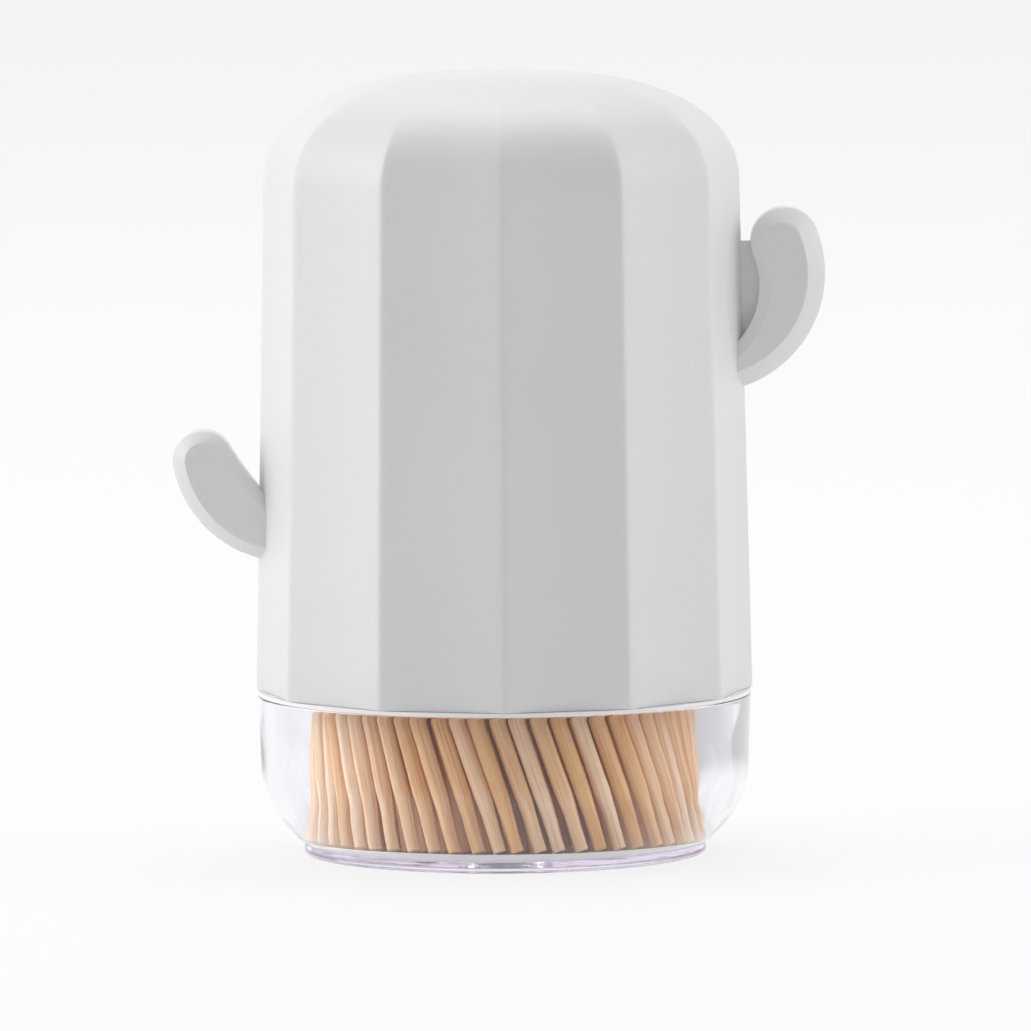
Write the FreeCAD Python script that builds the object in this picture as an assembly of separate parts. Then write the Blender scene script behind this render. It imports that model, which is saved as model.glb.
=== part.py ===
import FreeCAD, Part
import math
import os

# Toothpick dispenser: a clear bowl, a twelve-sided cap with two arms that lifts off its neck,
# and a spring-raised tray that lifts the toothpicks as the cap comes away.
# Millimetres, +Z up, the resting plane at z = 0, the cap's axis on Z, a ridge of the cap towards -Y.

V = FreeCAD.Vector
os.makedirs("parts", exist_ok=True)

# ---- Driving dimensions ----

# Clearances
running_fit = 0.1        # radial, between a sliding pair
glue_fit = 0.03          # between a glued or pressed pair
seat_gap = 0.05          # axial, where a hard edge stops just short of its seat
moving_gap = 0.3         # between moving faces that only pass each other
past = 1.0               # cuts run this far past a face

# Toothpicks
stick_r = 1.025
stick_length = 65.0
stick_point = 6.0        # length of the pointed upper end
stick_tip_r = 0.25
stick_end_r = 0.8        # of the blunt lower end
stick_end_length = 0.4   # height of the bevel round the blunt end
stick_lean = 0.32        # sideways run per unit of height, at the outer ring
stick_gap = 0.21         # between neighbours in a ring
ring_gap = 0.35          # between rings
throat_z = 26.0          # where the bundle is narrowest
bundle_gap = 1.575       # between the bundle's waist and the neck

# Bowl
rim_inset = 0.28         # how far the bowl's rim stays inside the cap's ridges
bowl_draft = 0.3         # how much the straight wall narrows on its way down
bowl_wall = 1.9
bowl_rim_z = 19.35
bowl_bend_z = 9.5        # where the straight wall starts to curve in
bulge_inset = 2.4        # a point on the outer curve, in from the rim
bulge_z = 4.5            # the same point, height
bulge_slope = 41.0       # degrees below level that the curve faces at this point
foot_inset = 5.45        # from the rim to the outside of the foot ring
foot_top_z = 1.35
foot_width = 3.2
foot_round = 0.45
floor_recess = 0.5       # depth of the hollow under the floor
floor_thick = 1.0
hub_rise = 1.4           # how far the middle of the floor stands above the rest
hub_recess_r = 3.8       # room for the screw head under the hub

# Neck ring
flange_thick = 0.45
neck_wall = 1.2
neck_height = 7.6        # above the flange
neck_round = 0.4
spigot_depth = 0.3       # how far the ring's locating lip reaches into the bowl

# Cap
ridge_count = 12
cap_r = 30.03            # to the ridges, at the bottom edge
cap_taper = 1.28         # how much the radius shrinks up to the dome
cap_wall = 1.6
facet_hollow = 0.28      # how far a facet curves in from flat
ridge_width = 2.0        # rounded width of a ridge
ridge_blunt = 0.08       # how far the rounding takes a ridge back
headroom = 29.1          # from the toothpicks' tips to the top of the cap
dome_height = 13.2
crown_r = 6.0            # the flat crown
crown_wall = 1.8
dome_power = 2.2         # 2 is an ellipse, more is squarer
fade_power = 1.5         # how soon the facets fade out on the dome
dome_steps = 7
boss_r = 3.0             # boss under the ceiling that carries the stem
boss_depth = 6.4

# Collar and seal in the cap's mouth
seal_height = 1.2
seal_width = 0.95
collar_height = 10.0
collar_wall = 0.95
collar_gap = 0.1         # between the collar and the middle of the cap's facets

# Arms
arm_depth = 6.0          # front to back
root_depth = 1.3         # how far inside the wall an arm's outline starts
left_arm_rise = 15.5     # from the cap's edge to the underside of the arm at the wall
left_root_height = 7.2
left_reach = 6.47        # from the wall to the centre of the rounded tip
left_tip_rise = 12.3     # from the underside to the same point
left_tip_r = 3.66
left_bevel = 1.4         # width and depth of the slope round both faces
left_outside_turn = 100  # direction of the outer edge at the tip, degrees from +X towards +Z
left_inside_turn = 123   # direction of the inner edge at the tip
right_arm_rise = 36.05
right_root_height = 5.5
right_reach = 4.8
right_tip_rise = 17.9
right_tip_r = 4.1
right_bevel = 1.8
right_outside_turn = 112
right_inside_turn = 112
web_thick = 2.4          # of the web that fills the gap between the right arm and the cap
left_peg_rise = 3.0      # from the underside to the peg
right_peg_rise = 2.6
peg_r = 1.4
key_rise = 2.6           # height of the small key pin above each peg
key_r = 0.6
key_length = 1.1         # how far the key pin goes into the wall
pad_r = 3.2              # flat pad inside the cap round each peg
pad_depth = 1.0
pad_root = 0.4           # how far the pad runs into the wall
clip_wall = 1.2
clip_thick = 0.6

# Riser
travel = 18.0
tray_side_gap = 1.1      # between the tray and the neck as it passes through
tray_thick = 0.95
tray_under_gap = 0.45    # between the tray and the bowl's floor
tray_chamfer = 0.8
tray_hub_wall = 1.47
tray_hub_height = 2.0
tube_r = 6.5
tube_wall = 1.2
bush_length = 6.8
knob_r = 8.5
knob_height = 6.0
knob_over = 3.07         # how far the knob stands above the toothpicks' tips
knob_round = 1.8
knob_plug = 4.0

# Guide post
post_r = 4.0
post_head_height = 3.0
pin_r = 2.2
pin_gap = 3.95           # between the pin's top and the knob's plug, at rest

# Screw and washer under the hub
screw_r = 1.1
screw_bite = 9.0         # length inside the post
screw_head_r = 2.6
screw_head_height = 1.3
screw_head_round = 0.6
cross_length = 3.4
cross_width = 0.7
washer_r = 3.2
washer_thick = 0.3

# Lift spring
wire_r = 0.3
coil_r = 3.5
coil_turns = 11

# Stem
stem_r = 5.0
stem_tip_r = 4.2
pad_thick = 2.0
spigot_r = 1.5           # of the soft pad, inside the stem
spigot_length = 3.0

# ---- Sizes that follow ----

bowl_rim_r = cap_r - rim_inset
bulge_r = bowl_rim_r - bulge_inset
foot_r = bowl_rim_r - foot_inset
floor_top_z = floor_recess + floor_thick
hub_top_z = floor_top_z + hub_rise
hub_under_z = hub_top_z - floor_thick
flange_top_z = bowl_rim_z + flange_thick
neck_top_z = flange_top_z + neck_height
bowl_inner_r = bowl_rim_r - bowl_wall

tray_bottom_z = floor_top_z + tray_under_gap
tray_top_z = tray_bottom_z + tray_thick
tube_bore_r = tube_r - tube_wall
hub_r = tube_bore_r - moving_gap
bush_bottom_z = hub_top_z + moving_gap
bush_top_z = bush_bottom_z + bush_length

stick_tilt = math.atan(stick_lean)
stick_foot_z = tray_top_z + seat_gap + stick_end_r * math.sin(stick_tilt)
stick_top_z = stick_foot_z + stick_length * math.cos(stick_tilt)
ring_step = 2 * stick_r + ring_gap
stick_pitch = (2 * stick_r + stick_gap) / math.cos(stick_tilt)

knob_top_z = stick_top_z + knob_over
tube_top_z = knob_top_z - knob_height
plug_bottom_z = tube_top_z - knob_plug
post_shoulder_z = bush_top_z + travel + seat_gap
post_head_r = tube_bore_r - running_fit
post_head_z = post_shoulder_z + post_head_height
pin_top_z = plug_bottom_z - pin_gap

cap_bottom_z = flange_top_z + seat_gap
cap_top_z = stick_top_z + headroom
shoulder_z = cap_top_z - dome_height
shoulder_r = cap_r - cap_taper
ceiling_z = cap_top_z - crown_wall
boss_bottom_z = ceiling_z - boss_depth
collar_bottom_z = flange_top_z + seal_height
collar_top_z = collar_bottom_z + collar_height
stem_bottom_z = knob_top_z + seat_gap + pad_thick


def cap_radius(z):
    """Radius to the ridges at a height."""
    if z <= shoulder_z:
        return cap_r - cap_taper * (z - cap_bottom_z) / (shoulder_z - cap_bottom_z)
    share = min(1, (z - shoulder_z) / dome_height)
    return crown_r + (shoulder_r - crown_r) * (1 - share ** dome_power) ** (1 / dome_power)


def facet_radius(radius, turn, fade):
    """Radius of a hollow facet at an angle from its middle. At fade 1 it is whole, at 0 it is round."""
    half_step = 180 / ridge_count
    flat = radius * math.cos(math.radians(half_step)) / math.cos(math.radians(turn))
    hollow = flat - facet_hollow * (1 - (turn / half_step) ** 2)
    return radius - (radius - hollow) * fade


collar_r = facet_radius(cap_radius(collar_top_z) - cap_wall, 0, 1) - collar_gap
collar_bore_r = collar_r - collar_wall
neck_r = collar_bore_r - running_fit
neck_bore_r = neck_r - neck_wall
tray_r = neck_bore_r - tray_side_gap
throat_r = neck_bore_r - bundle_gap - stick_r


def revolve(points):
    """Turns a closed outline of (radius, z) points about Z. A point marked as an arc is the arc's middle."""
    edges = []
    start = V(points[0][0], 0, points[0][1])
    bend = None
    for point in points[1:] + points[:1]:
        here = V(point[0], 0, point[1])
        if len(point) == 3:
            bend = here
            continue
        if bend is None:
            edges.append(Part.LineSegment(start, here).toShape())
        else:
            edges.append(Part.Arc(start, bend, here).toShape())
        start = here
        bend = None
    face = Part.Face(Part.Wire(edges))
    return face.revolve(V(0, 0, 0), V(0, 0, 1), 360)


def disc(radius, bottom, top):
    """A plain disc about Z."""
    return Part.makeCylinder(radius, top - bottom, V(0, 0, bottom))


def ring(inner, outer, bottom, top):
    """A plain ring about Z."""
    return disc(outer, bottom, top).cut(disc(inner, bottom, top))


def along_x(radius, side, near, far, height):
    """A disc lying along X, from one distance from the axis to another, on the left (-1) or right (1)."""
    return Part.makeCylinder(radius, far - near, V(side * near, 0, height), V(side, 0, 0))


def polar(radius, degrees, z):
    """A point at a radius and an angle from +X."""
    return V(radius * math.cos(math.radians(degrees)), radius * math.sin(math.radians(degrees)), z)


def polar_xz(radius, degrees):
    """An offset in the XZ plane, at an angle from +X towards +Z."""
    return V(radius * math.cos(math.radians(degrees)), 0, radius * math.sin(math.radians(degrees)))


def edges_at(shape, z):
    """The edges of a shape that lie level at a height."""
    return [edge for edge in shape.Edges
            if abs(edge.BoundBox.ZMin - z) + abs(edge.BoundBox.ZMax - z) < seat_gap]


def save(node, shape):
    """Writes one sub-part."""
    shape.exportStep("parts/" + node + ".step")


# ---- Bowl: clear moulding with a foot ring and a raised hub for the post's screw ----

def bowl():
    bend_r = bowl_rim_r - bowl_draft
    inner_bulge_r = bulge_r - bowl_wall * math.cos(math.radians(bulge_slope))
    inner_bulge_z = bulge_z + bowl_wall * math.sin(math.radians(bulge_slope))
    floor_r = tray_r - tray_chamfer + moving_gap
    foot_bore_r = foot_r - foot_width
    foot_corner = foot_round * (1 - math.sqrt(0.5))
    shell = revolve([
        (0, hub_under_z), (hub_recess_r, hub_under_z), (hub_recess_r, floor_recess),
        (foot_bore_r, floor_recess), (foot_bore_r, 0), (foot_r - foot_round, 0),
        (foot_r - foot_corner, foot_corner, "arc"), (foot_r, foot_round), (foot_r, foot_top_z),
        (bulge_r, bulge_z, "arc"), (bend_r, bowl_bend_z), (bowl_rim_r, bowl_rim_z),
        (bowl_inner_r, bowl_rim_z), (bend_r - bowl_wall, bowl_bend_z),
        (inner_bulge_r, inner_bulge_z, "arc"), (floor_r, floor_top_z),
        (hub_r, floor_top_z), (hub_r, hub_top_z), (0, hub_top_z)])
    return shell.cut(disc(screw_r + moving_gap, hub_under_z - past, hub_top_z + past))


# ---- Neck ring: white flange on the bowl's rim, a neck above it and a shallow lip inside the bowl ----

def neck_ring():
    spigot_draft = bowl_draft * spigot_depth / (bowl_rim_z - bowl_bend_z)
    plug_r = bowl_inner_r - spigot_draft - glue_fit
    plug_bottom = bowl_rim_z - spigot_depth
    body = revolve([
        (neck_bore_r, plug_bottom), (plug_r, plug_bottom), (plug_r, bowl_rim_z),
        (bowl_rim_r, bowl_rim_z), (bowl_rim_r, flange_top_z), (neck_r, flange_top_z),
        (neck_r, neck_top_z), (neck_bore_r, neck_top_z)])
    return body.makeFillet(neck_round, edges_at(body, neck_top_z))


# ---- Cap: twelve hollow facets that run up over a dome and fade out at the crown ----

def cap_section(radius, z, fade):
    """One level of the cap, of facet arcs and ridge arcs."""
    step = 360 / ridge_count
    half_ridge = math.degrees(ridge_width / 2 / cap_r)
    side_r = facet_radius(radius, step / 2 - half_ridge, fade)
    edges = []
    for number in range(ridge_count):
        ridge = number * step
        before = polar(side_r, ridge - half_ridge, z)
        peak = polar(radius - ridge_blunt * fade, ridge, z)
        after = polar(side_r, ridge + half_ridge, z)
        middle = polar(facet_radius(radius, 0, fade), ridge + step / 2, z)
        following = polar(side_r, ridge + step - half_ridge, z)
        edges.append(Part.Arc(before, peak, after).toShape())
        edges.append(Part.Arc(after, middle, following).toShape())
    return Part.Wire(edges)


def cap_form(inset, drop, bottom_z):
    """The cap's form as a solid, set in by a wall and lowered by the crown's: a taper, then a dome."""
    low = cap_section(cap_radius(bottom_z) - inset, bottom_z, 1)
    shoulder = cap_section(shoulder_r - inset, shoulder_z - drop, 1)
    taper = Part.makeLoft([low, shoulder], True, True)
    levels = [shoulder]
    for number in range(1, dome_steps + 1):
        z = shoulder_z + dome_height * math.sin(math.pi / 2 * number / dome_steps)
        radius = cap_radius(z)
        fade = ((radius - crown_r) / (shoulder_r - crown_r)) ** fade_power
        levels.append(cap_section(radius - inset, z - drop, fade))
    return taper.fuse(Part.makeLoft(levels, True, False))


def pad_face(peg_z):
    """Distance from the axis to the flat pad inside the wall at a peg."""
    return cap_radius(peg_z) - cap_wall - pad_depth


left_arm_z = cap_bottom_z + left_arm_rise
right_arm_z = cap_bottom_z + right_arm_rise
pegs = {-1: left_arm_z + left_peg_rise, 1: right_arm_z + right_peg_rise}   # heights, by side


def cap_shell(outer, inner):
    shell = outer.cut(inner)
    shell = shell.fuse(disc(boss_r, boss_bottom_z, ceiling_z + crown_wall / 2))
    for side, peg_z in pegs.items():
        wall_x = cap_radius(peg_z)
        shell = shell.fuse(along_x(pad_r, side, pad_face(peg_z), wall_x - cap_wall + pad_root, peg_z))
        shell = shell.cut(along_x(peg_r + glue_fit, side, pad_face(peg_z) - past, wall_x + past, peg_z))
        key_x = wall_x - key_length - seat_gap
        shell = shell.cut(along_x(key_r + glue_fit, side, key_x, wall_x + past, peg_z + key_rise))
    return shell


# ---- Arms: bent lobes, bevelled round both faces, seated on a ridge of the cap ----

def arc_to(start, end, direction):
    """An arc in the XZ plane that reaches its end in a given direction, in degrees from +X towards +Z."""
    chord = end - start
    lean = direction - math.degrees(math.atan2(chord.z, chord.x))
    bulge = math.tan(math.radians(lean / 2)) / 2
    return Part.Arc(start, start + chord * 0.5 + V(chord.z, 0, -chord.x) * bulge, end).toShape()


def arm(outer, side, arm_z, root_height, reach, tip_rise, tip_r, bevel, outside_turn, inside_turn, web):
    """One arm, with a peg through the wall and a key pin beside it. Web is the thickness of its web, or 0."""
    wall_x = cap_radius(arm_z)
    under_root = V(side * (wall_x - root_depth), 0, arm_z)
    upper_root = under_root + V(0, 0, root_height)
    tip = V(side * (wall_x + reach), 0, arm_z + tip_rise)
    outside = outside_turn - side * 90
    inside = inside_turn + side * 90
    outer_end = tip + polar_xz(tip_r, outside)
    inner_end = tip + polar_xz(tip_r, inside)
    crest = tip + polar_xz(tip_r, (outside + inside) / 2)
    root = Part.LineSegment(upper_root, under_root).toShape()
    edges = [
        arc_to(under_root, outer_end, outside_turn), Part.Arc(outer_end, crest, inner_end).toShape(),
        arc_to(upper_root, inner_end, inside_turn), root]
    face = Part.Face(Part.Wire(Part.__sortEdges__(edges)))
    face.translate(V(0, -arm_depth / 2, 0))
    plate = face.extrude(V(0, arm_depth, 0))
    root_edge_x = wall_x - root_depth + seat_gap
    rims = [edge for edge in plate.Edges if edge.BoundBox.YLength < seat_gap
            and abs(edge.BoundBox.Center.x) > root_edge_x]
    plate = plate.makeChamfer(bevel, rims)
    if web:
        corner = V(min(upper_root.x, tip.x), -web / 2, upper_root.z)
        plate = plate.fuse(Part.makeBox(abs(tip.x - upper_root.x), web, tip.z - upper_root.z, corner))
    plate = plate.cut(outer.translated(V(side * glue_fit, 0, 0)))
    peg_z = pegs[side]
    wall_x = cap_radius(peg_z)
    plate = plate.fuse(along_x(peg_r, side, pad_face(peg_z) - clip_thick, wall_x + peg_r, peg_z))
    return plate.fuse(along_x(key_r, side, wall_x - key_length, wall_x + key_r, peg_z + key_rise))


def arm_clips():
    """Push-on rings that hold the pegs, one on each pad."""
    clips = []
    for side, peg_z in pegs.items():
        face_x = pad_face(peg_z)
        clip = along_x(peg_r + clip_wall, side, face_x - clip_thick, face_x, peg_z)
        clips.append(clip.cut(along_x(peg_r + glue_fit, side, face_x - past, face_x + past, peg_z)))
    return Part.makeCompound(clips)


# ---- Collar, seal and stem inside the cap ----

def cap_collar():
    return ring(collar_bore_r, collar_r, collar_bottom_z, collar_top_z)


def seal_ring():
    inner = neck_r + glue_fit
    return ring(inner, inner + seal_width, flange_top_z, collar_bottom_z)


def cap_stem():
    """Glued over the boss under the ceiling, slightly tapered, with a hole for the pad's spigot."""
    socket_r = boss_r + glue_fit
    socket_z = boss_bottom_z - glue_fit
    top_z = ceiling_z - glue_fit
    core = revolve([
        (0, stem_bottom_z), (stem_tip_r, stem_bottom_z), (stem_r, socket_z), (stem_r, top_z),
        (socket_r, top_z), (socket_r, socket_z), (0, socket_z)])
    return core.cut(disc(spigot_r + glue_fit, stem_bottom_z - past, stem_bottom_z + spigot_length))


def stem_pad():
    pad = disc(stem_tip_r, knob_top_z + seat_gap, stem_bottom_z)
    return pad.fuse(disc(spigot_r, stem_bottom_z - pad_thick / 2, stem_bottom_z + spigot_length - seat_gap))


# ---- Guide post with its screw, washer and spring ----

def guide_post():
    post = disc(post_r, hub_top_z, post_shoulder_z)
    post = post.fuse(disc(post_head_r, post_shoulder_z, post_head_z))
    post = post.fuse(disc(pin_r, post_head_z, pin_top_z))
    return post.cut(disc(screw_r + glue_fit, hub_top_z - past, hub_top_z + screw_bite + seat_gap))


def post_washer():
    return ring(screw_r + moving_gap, washer_r, hub_under_z - washer_thick, hub_under_z)


def post_screw():
    head_top = hub_under_z - washer_thick
    head_bottom = head_top - screw_head_height
    screw = disc(screw_head_r, head_bottom, head_top)
    screw = screw.makeFillet(screw_head_round, edges_at(screw, head_bottom))
    screw = screw.fuse(disc(screw_r, head_top - screw_head_height / 2, hub_top_z + screw_bite))
    for along, across in [(cross_length, cross_width), (cross_width, cross_length)]:
        corner = V(-along / 2, -across / 2, head_bottom - past)
        screw = screw.cut(Part.makeBox(along, across, past + screw_head_height / 2, corner))
    return screw


def lift_spring():
    bottom = post_head_z + wire_r
    height = plug_bottom_z - wire_r - bottom
    helix = Part.makeHelix(height / coil_turns, height, coil_r)
    section = Part.Wire([Part.makeCircle(wire_r, V(coil_r, 0, 0), V(0, 1, 0))])
    spring = Part.Wire(helix).makePipeShell([section], True, True)
    spring.translate(V(0, 0, bottom))
    return spring


# ---- Riser: tray, tube, bush and knob move as one ----

def riser_tray():
    bore_r = tube_r + glue_fit
    tray_hub_r = bore_r + tray_hub_wall
    tray_hub_top = tray_top_z + tray_hub_height
    return revolve([
        (bore_r, tray_bottom_z), (tray_r - tray_chamfer, tray_bottom_z),
        (tray_r, tray_bottom_z + tray_chamfer), (tray_r, tray_top_z), (tray_hub_r, tray_top_z),
        (tray_hub_r, tray_hub_top), (bore_r, tray_hub_top)])


def riser_tube():
    return ring(tube_bore_r, tube_r, tray_bottom_z, tube_top_z)


def riser_bush():
    return ring(post_r + running_fit, tube_bore_r - glue_fit, bush_bottom_z, bush_top_z)


def tube_knob():
    head = disc(knob_r, tube_top_z, knob_top_z)
    head = head.makeFillet(knob_round, edges_at(head, knob_top_z))
    return head.fuse(disc(tube_bore_r - glue_fit, plug_bottom_z, tube_top_z + knob_height / 2))


# ---- Toothpicks: straight sticks, all leaning the same way round, so that the bundle has a waist ----

def toothpick_ring(number_in):
    """A ring of sticks standing on the tray, counted from the outside in. Inner rings lean less."""
    waist_r = throat_r - number_in * ring_step
    lean = stick_lean * waist_r / throat_r
    shaft = stick_length - stick_point - stick_end_length
    stick = Part.makeCone(stick_end_r, stick_r, stick_end_length)
    stick = stick.fuse(Part.makeCylinder(stick_r, shaft, V(0, 0, stick_end_length)))
    stick = stick.fuse(Part.makeCone(stick_r, stick_tip_r, stick_point, V(0, 0, stick_length - stick_point)))
    stick.rotate(V(0, 0, 0), V(1, 0, 0), math.degrees(math.atan(lean)))
    stick.translate(V(waist_r, (throat_z - stick_foot_z) * lean, stick_foot_z))
    count = int(2 * math.pi * waist_r / stick_pitch)
    sticks = []
    for number in range(count):
        turned = stick.copy()
        turned.rotate(V(0, 0, 0), V(0, 0, 1), 360 * number / count)
        sticks.append(turned)
    return Part.makeCompound(sticks)


cap_outside = cap_form(0, 0, cap_bottom_z)
cap_inside = cap_form(cap_wall, crown_wall, cap_bottom_z - past)

save("bowl", bowl())
save("neck_ring", neck_ring())
save("cap_shell", cap_shell(cap_outside, cap_inside))
save("left_arm", arm(
    cap_outside, -1, left_arm_z, left_root_height, left_reach, left_tip_rise, left_tip_r, left_bevel,
    left_outside_turn, left_inside_turn, 0))
save("right_arm", arm(
    cap_outside, 1, right_arm_z, right_root_height, right_reach, right_tip_rise, right_tip_r, right_bevel,
    right_outside_turn, right_inside_turn, web_thick))
save("arm_clips", arm_clips())
save("cap_collar", cap_collar())
save("seal_ring", seal_ring())
save("cap_stem", cap_stem())
save("stem_pad", stem_pad())
save("guide_post", guide_post())
save("post_washer", post_washer())
save("post_screw", post_screw())
save("lift_spring", lift_spring())
save("riser_tray", riser_tray())
save("riser_tube", riser_tube())
save("riser_bush", riser_bush())
save("tube_knob", tube_knob())
for number_in, place in enumerate(["outer", "middle", "inner"]):
    save("toothpicks_" + place, toothpick_ring(number_in))
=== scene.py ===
import math

import bmesh
import bpy
from mathutils import Matrix, Vector


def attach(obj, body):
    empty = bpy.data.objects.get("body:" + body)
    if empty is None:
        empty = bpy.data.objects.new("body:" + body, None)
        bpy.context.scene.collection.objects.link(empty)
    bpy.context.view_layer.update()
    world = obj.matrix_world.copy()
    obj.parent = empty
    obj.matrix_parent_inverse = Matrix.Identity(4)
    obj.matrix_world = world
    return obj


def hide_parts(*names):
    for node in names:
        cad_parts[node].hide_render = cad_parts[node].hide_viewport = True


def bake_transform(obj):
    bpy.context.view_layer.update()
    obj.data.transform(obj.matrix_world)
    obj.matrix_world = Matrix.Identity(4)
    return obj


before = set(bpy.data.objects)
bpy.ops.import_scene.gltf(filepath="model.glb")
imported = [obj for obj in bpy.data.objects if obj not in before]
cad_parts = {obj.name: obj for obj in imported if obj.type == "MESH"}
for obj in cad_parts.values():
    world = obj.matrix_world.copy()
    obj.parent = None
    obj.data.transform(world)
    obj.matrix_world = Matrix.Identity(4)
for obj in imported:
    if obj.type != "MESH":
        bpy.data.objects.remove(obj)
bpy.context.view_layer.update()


# ---- Bowl ----
# A clear, stiff polystyrene cup, injection moulded in one shot. It stands on a ring under its
# curved-in wall, and a raised boss in its floor takes the screw of the guide post.

def place(tree, kind, feeds=None, **settings):
    """Puts a node in a tree. Feeds gives an input, by name or number, a value or what drives it."""
    node = tree.nodes.new(kind)
    for setting, value in settings.items():
        setattr(node, setting, value)
    for socket, value in (feeds or {}).items():
        if isinstance(value, Amount):
            value = value.socket
        if isinstance(value, bpy.types.Node):
            value = value.outputs[0]
        if isinstance(value, bpy.types.NodeSocket):
            tree.links.new(value, node.inputs[socket])
        else:
            node.inputs[socket].default_value = value
    return node


class Amount:
    """What a socket of a node tree gives, worked on with ordinary signs."""

    def __init__(self, socket):
        self.socket = socket

    def work(self, operation, *others):
        """One step of arithmetic, by the name that the math node has for it."""
        feeds = dict(enumerate((self, *others)))
        return Amount(place(self.socket.id_data, "ShaderNodeMath", feeds, operation=operation).outputs[0])

    def __add__(self, other):
        return self.work("ADD", other)

    def __sub__(self, other):
        return self.work("SUBTRACT", other)

    def __rsub__(self, whole):
        return self.work("MULTIPLY_ADD", -1.0, whole)

    def __mul__(self, other):
        return self.work("MULTIPLY", other)

    def __truediv__(self, other):
        return self.work("DIVIDE", other)

    def __pow__(self, other):
        return self.work("POWER", other)

    def within(self, low, high):
        """The amount, held between two bounds."""
        return self.work("MAXIMUM", low).work("MINIMUM", high)

    def mapped(self, low, high, at_low, at_high):
        """The amount, carried from one range to another and held there."""
        feeds = {"Value": self, "From Min": low, "From Max": high, "To Min": at_low, "To Max": at_high}
        return Amount(place(self.socket.id_data, "ShaderNodeMapRange", feeds).outputs[0])


def noise_at(tree, spot, scale, detail):
    """A soft random change from place to place, from 0 to 1."""
    noise = place(tree, "ShaderNodeTexNoise", {"Vector": spot, "Scale": scale, "Detail": detail})
    return Amount(noise.outputs["Fac"])


def mixed(tree, share, first, second, how="MIX"):
    """Two colours mixed by a share. The mix node has its colours at inputs 6 and 7 and at output 2."""
    mix = place(tree, "ShaderNodeMix", {0: share, 6: first, 7: second}, data_type="RGBA", blend_type=how)
    return mix.outputs[2]


def new_finish(name, own=None):
    """A material with plain values for its shader's own sockets, given with its tree and its shader."""
    finish = bpy.data.materials.new(name)
    finish.use_nodes = True
    shader = finish.node_tree.nodes["Principled BSDF"]
    for socket, value in (own or {}).items():
        shader.inputs[socket].default_value = value
    return finish, finish.node_tree, shader


def new_effect(name, inputs, outputs):
    """A shader node group for an effect that several finishes share, given with its two sides."""
    effect = bpy.data.node_groups.new(name, "ShaderNodeTree")
    for side, sockets in (("INPUT", inputs), ("OUTPUT", outputs)):
        for label, kind in sockets.items():
            effect.interface.new_socket(label, in_out=side, socket_type="NodeSocket" + kind)
    given = effect.nodes.new("NodeGroupInput").outputs
    return effect, given, effect.nodes.new("NodeGroupOutput").inputs


def skin_of_mould():
    """What a mould leaves on plastic: a fine even texture, soft cloudiness, and a few shallow drag lines."""
    drag_scale = (900.0, 900.0, 25.0)             # the lines run upwards, as the piece leaves its mould
    effect, given, result = new_effect("moulded_skin", {
        "Colour": "Color", "Cloud Colour": "Color", "Cloud Scale": "Float", "Roughness": "Float",
        "Roughness Swing": "Float", "Texture Scale": "Float", "Texture Height": "Float",
        "Drag Height": "Float"}, {"Colour": "Color", "Roughness": "Float", "Height": "Float"})
    spot = place(effect, "ShaderNodeTexCoord").outputs["Object"]
    clouds = noise_at(effect, spot, given["Cloud Scale"], 4.0)
    colour = mixed(effect, clouds, given["Colour"], given["Cloud Colour"])
    rough = (clouds - 0.5) * given["Roughness Swing"] + given["Roughness"]
    drag_spot = place(effect, "ShaderNodeMapping", {"Vector": spot, "Scale": drag_scale})
    texture = noise_at(effect, spot, given["Texture Scale"], 2.0) * given["Texture Height"]
    height = noise_at(effect, drag_spot, 1.0, 1.0) * given["Drag Height"] + texture
    effect.links.new(colour, result["Colour"])
    effect.links.new(rough.socket, result["Roughness"])
    effect.links.new(height.socket, result["Height"])
    return effect


moulded_skin = skin_of_mould()
relief_step = 0.0001                              # how high a relief of 1 stands


def moulded(name, skin, own=None):
    """A plastic whose colour, gloss and relief come from the moulded skin."""
    finish, tree, shader = new_finish(name, own)
    surface = place(tree, "ShaderNodeGroup", skin, node_tree=moulded_skin).outputs
    relief = place(tree, "ShaderNodeBump",
                   {"Height": surface["Height"], "Distance": relief_step, "Strength": 1.0})
    tree.links.new(surface["Colour"], shader.inputs["Base Color"])
    tree.links.new(surface["Roughness"], shader.inputs["Roughness"])
    tree.links.new(relief.outputs["Normal"], shader.inputs["Normal"])
    return finish


def let_lamps_through(finish, tint):
    """Clear plastic dims a lamp behind it a little, but casts no full shadow."""
    tree = finish.node_tree
    path = place(tree, "ShaderNodeLightPath").outputs
    clear = place(tree, "ShaderNodeBsdfTransparent", {"Color": tint})
    either = place(tree, "ShaderNodeMixShader",
                   {0: path["Is Shadow Ray"], 1: tree.nodes["Principled BSDF"], 2: clear})
    tree.links.new(either.outputs[0], tree.nodes["Material Output"].inputs["Surface"])


def arc_through(start, middle, end, steps):
    """Points (radius, z) along the arc through three points, without its start."""
    (ax, ay), (bx, by), (cx, cy) = start, middle, end
    bend = 2 * (ax * (by - cy) + bx * (cy - ay) + cx * (ay - by))             # above 0 where it turns left
    a2, b2, c2 = ax * ax + ay * ay, bx * bx + by * by, cx * cx + cy * cy
    centre_x = (a2 * (by - cy) + b2 * (cy - ay) + c2 * (ay - by)) / bend
    centre_y = (a2 * (cx - bx) + b2 * (ax - cx) + c2 * (bx - ax)) / bend
    radius = math.hypot(ax - centre_x, ay - centre_y)
    first = math.atan2(ay - centre_y, ax - centre_x)
    turn = (math.atan2(cy - centre_y, cx - centre_x) - first) % math.tau
    turn = turn if bend > 0 else turn - math.tau
    angles = [first + turn * n / steps for n in range(1, steps + 1)]
    return [(centre_x + radius * math.cos(angle), centre_y + radius * math.sin(angle)) for angle in angles]


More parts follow.
